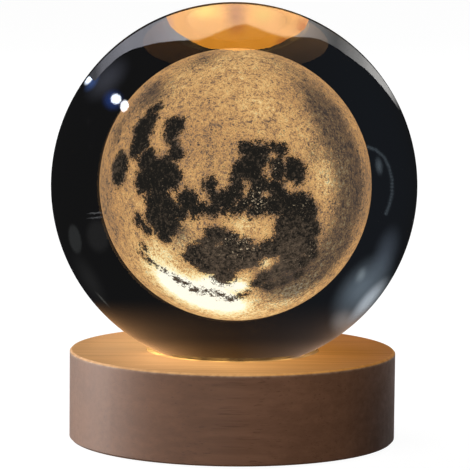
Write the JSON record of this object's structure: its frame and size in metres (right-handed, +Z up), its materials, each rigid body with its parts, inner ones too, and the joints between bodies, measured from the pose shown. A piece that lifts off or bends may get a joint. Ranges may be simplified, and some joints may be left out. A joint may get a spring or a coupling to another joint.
{
  "type": "moon lamp",
  "caption": "Small table lamp: a glass ball with a moon engraved inside it, resting in a soft seat on a round wooden base that lights it from below.",
  "frame": {"origin": "middle of the pad's underside, on the surface that the lamp stands on", "axes": "+Z up through the middle of the base and the ball, -Y to the front, +Y to the inlet and the button"},
  "size_m": [0.08, 0.08, 0.0961],
  "materials": {
    "stained_wood": "taupe-brown stain, satin, fine level grain",
    "clear_silicone": "translucent, satin",
    "optical_glass": "polished",
    "engraved_glass": "fine inner cracks that scatter warm light",
    "white_plastic": "moulded, matt",
    "frosted_plastic": "frosted, translucent",
    "white_board": "white solder mask",
    "led_phosphor": "yellow resin",
    "black_component": "moulded, matt",
    "screw_steel": "zinc plated",
    "red_insulation": "smooth",
    "black_insulation": "smooth",
    "solder": "dull",
    "green_board": "green solder mask",
    "tan_ceramic": "matt",
    "socket_steel": "drawn, nickel plated",
    "black_plastic": "fine moulded texture",
    "contact_gold": "gold flash",
    "spring_steel": "bright",
    "black_foam": "closed-cell foam"
  },
  "bodies": {
    "base": {"wooden_base": "stained_wood", "bottom_cover": "black_plastic", "anti_slip_pad": "black_foam", "cover_screws": "screw_steel", "reflector_cup": "white_plastic", "diffuser_disc": "frosted_plastic", "led_board": "white_board", "warm_leds": "led_phosphor", "led_resistors": "black_component", "led_board_screws": "screw_steel", "red_lead": "red_insulation", "black_lead": "black_insulation", "solder_joints": "solder", "control_board": "green_board", "driver_chip": "black_component", "board_capacitors": "tan_ceramic", "control_board_screws": "screw_steel", "usb_socket_shell": "socket_steel", "usb_socket_tongue": "black_plastic", "usb_contacts": "contact_gold", "switch_body": "black_plastic", "switch_spring": "spring_steel", "rear_bezel": "black_plastic"},
    "seat": {"seat_ring": "clear_silicone"},
    "ball": {"glass_ball": "optical_glass", "engraved_moon": "engraved_glass"},
    "button": {"button_cap": "black_plastic", "switch_plunger": "white_plastic"}
  },
  "joints": [
    {"name": "ball_turn", "type": "hinge", "parent": "base", "child": "seat", "pos_m": [0, 0, 0.02], "axis": [0, 0, 1], "continuous": true},
    {"name": "ball_lift", "type": "slide", "parent": "seat", "child": "ball", "axis": [0, 0, 1], "range_m": [0, 0.06]},
    {"name": "button_press", "type": "slide", "parent": "base", "child": "button", "axis": [0, -1, 0], "range_m": [0, 0.001], "stiffness_N_per_m": 600, "springref_m": -0.0015, "deforming": ["switch_spring"]}
  ]
}
